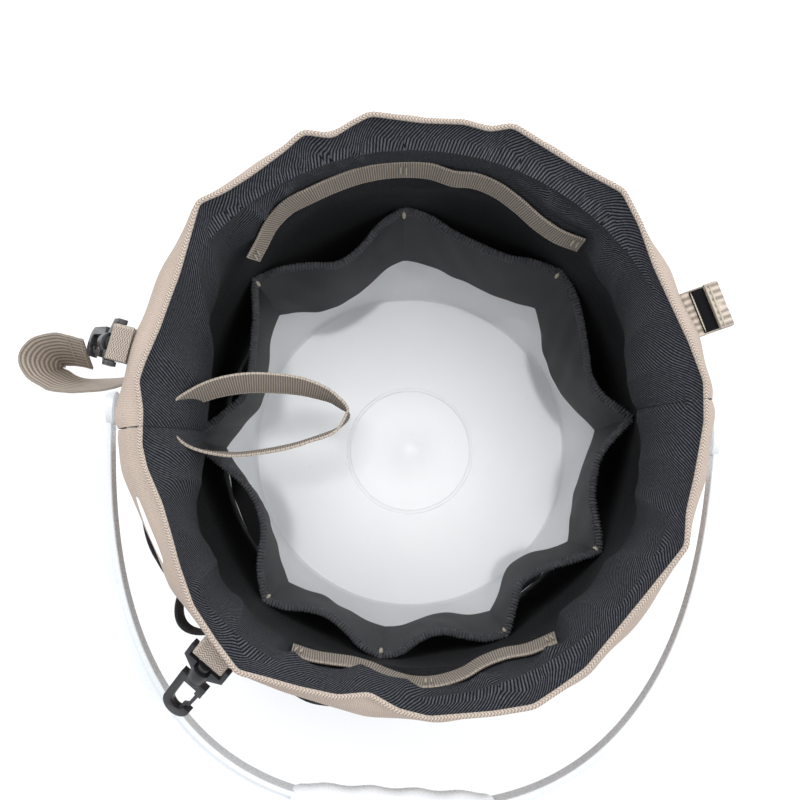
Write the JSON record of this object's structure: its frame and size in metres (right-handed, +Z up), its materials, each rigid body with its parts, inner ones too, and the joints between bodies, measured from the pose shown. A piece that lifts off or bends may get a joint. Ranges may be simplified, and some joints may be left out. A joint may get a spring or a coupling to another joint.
{
  "type": "tool bucket organizer",
  "caption": "Sewn tool organizer over an open pail: inner and outer pockets, webbing loops, snap hooks and a swinging bail.",
  "frame": {"origin": "centre of the pail's foot, on the surface it stands on", "axes": "+Z up through the mouth, +Y the back (the side away from the lowered bail), +X the right"},
  "size_m": [0.4048, 0.4083, 0.3733],
  "materials": {
    "pail_plastic": "satin moulded polyethylene",
    "bail_plastic": "smooth moulded polyethylene",
    "tan_canvas": "fine twill polyester",
    "black_lining": "coarse woven polyester with a slight sheen",
    "black_canvas": "coarse woven polyester",
    "grey_pocket_cloth": "smooth matte coated cloth",
    "black_thread": "overlocked thread",
    "tan_thread": "dense stitches",
    "tan_webbing": "ribbed webbing",
    "taupe_webbing": "ribbed webbing",
    "black_pile": "soft pile",
    "black_binding": "grosgrain tape",
    "black_plastic": "satin moulded acetal"
  },
  "bodies": {
    "bucket": {"pail_shell": "pail_plastic", "outer_skirt_front": "tan_canvas", "skirt_hem_front": "black_binding", "lining_front": "black_lining", "rim_braid_front": "tan_canvas", "inner_pocket_band_front": "grey_pocket_cloth", "inner_pocket_edge_front": "black_thread", "outer_pocket_strip_front": "black_canvas", "outer_pocket_binding_front": "black_binding", "small_pocket_front_left": "tan_canvas", "small_pocket_front_right": "tan_canvas", "outer_skirt_back": "tan_canvas", "skirt_hem_back": "black_binding", "lining_back": "black_lining", "rim_braid_back": "tan_canvas", "inner_pocket_band_back": "grey_pocket_cloth", "inner_pocket_edge_back": "black_thread", "outer_pocket_strip_back": "black_canvas", "outer_pocket_binding_back": "black_binding", "small_pocket_back_left": "tan_canvas", "small_pocket_back_right": "tan_canvas", "inner_bartacks": "tan_thread", "inner_loop_strip_back": "tan_webbing", "inner_loop_strip_front": "tan_webbing", "elastic_loop": "black_binding", "front_hook_tab": "tan_webbing", "left_hook_tab": "tan_webbing"},
    "bail": {"bail": "bail_plastic"},
    "hanging_loop": {"hanging_loop": "tan_webbing"},
    "left_strap": {"left_strap": "taupe_webbing"},
    "right_strap": {"right_strap": "taupe_webbing", "right_strap_pile": "black_pile"},
    "front_hook_frame": {"front_hook_swivel_base": "black_plastic"},
    "front_hook": {"front_hook_body": "black_plastic"},
    "front_hook_gate": {"front_hook_gate": "black_plastic"},
    "left_hook_frame": {"left_hook_swivel_base": "black_plastic"},
    "left_hook": {"left_hook_body": "black_plastic"},
    "left_hook_gate": {"left_hook_gate": "black_plastic"}
  },
  "joints": [
    {"name": "bail_swing", "type": "hinge", "parent": "bucket", "child": "bail", "pos_m": [0, 0, 0.322], "axis": [-0.9986, 0.0523, 0], "range_deg": [-20, 120]},
    {"name": "hanging_loop_swing", "type": "hinge", "parent": "bucket", "child": "hanging_loop", "pos_m": [-0.14177, 0, 0.33], "axis": [0, 0, 1], "range_deg": [-9, 12], "stiffness_Nm_per_rad": 0.02},
    {"name": "left_strap_swing", "type": "hinge", "parent": "bucket", "child": "left_strap", "pos_m": [-0.15494, 0.03293, 0.288], "axis": [0, 0, 1], "range_deg": [-10, 10], "stiffness_Nm_per_rad": 0.02},
    {"name": "right_strap_swing", "type": "hinge", "parent": "bucket", "child": "right_strap", "pos_m": [0.14762, 0.05519, 0.353], "axis": [-0.3502, 0.9367, 0], "range_deg": [-25, 45], "stiffness_Nm_per_rad": 0.02},
    {"name": "front_hook_swing", "type": "hinge", "parent": "bucket", "child": "front_hook_frame", "pos_m": [-0.10619, -0.12655, 0.356], "axis": [0.766, -0.6428, 0], "range_deg": [-50, 44]},
    {"name": "front_hook_swivel", "type": "hinge", "parent": "front_hook_frame", "child": "front_hook", "pos_m": [-0.10619, -0.12655, 0.356], "axis": [-0.5065, -0.6037, -0.6157], "continuous": true},
    {"name": "front_hook_gate_pivot", "type": "hinge", "parent": "front_hook", "child": "front_hook_gate", "pos_m": [-0.11405, -0.14588, 0.34048], "axis": [-0.3957, -0.4716, 0.788], "range_deg": [-16, 0], "stiffness_Nm_per_rad": 0.02},
    {"name": "left_hook_swing", "type": "hinge", "parent": "bucket", "child": "left_hook_frame", "pos_m": [-0.15994, 0.04136, 0.356], "axis": [-0.2504, -0.9681, 0], "range_deg": [-60, 22]},
    {"name": "left_hook_swivel", "type": "hinge", "parent": "left_hook_frame", "child": "left_hook", "pos_m": [-0.15994, 0.04136, 0.356], "axis": [-0.4841, 0.1252, -0.866], "continuous": true},
    {"name": "left_hook_gate_pivot", "type": "hinge", "parent": "left_hook", "child": "left_hook_gate", "pos_m": [-0.17374, 0.03832, 0.33418], "axis": [-0.8384, 0.2168, 0.5], "range_deg": [-16, 0], "stiffness_Nm_per_rad": 0.02}
  ]
}
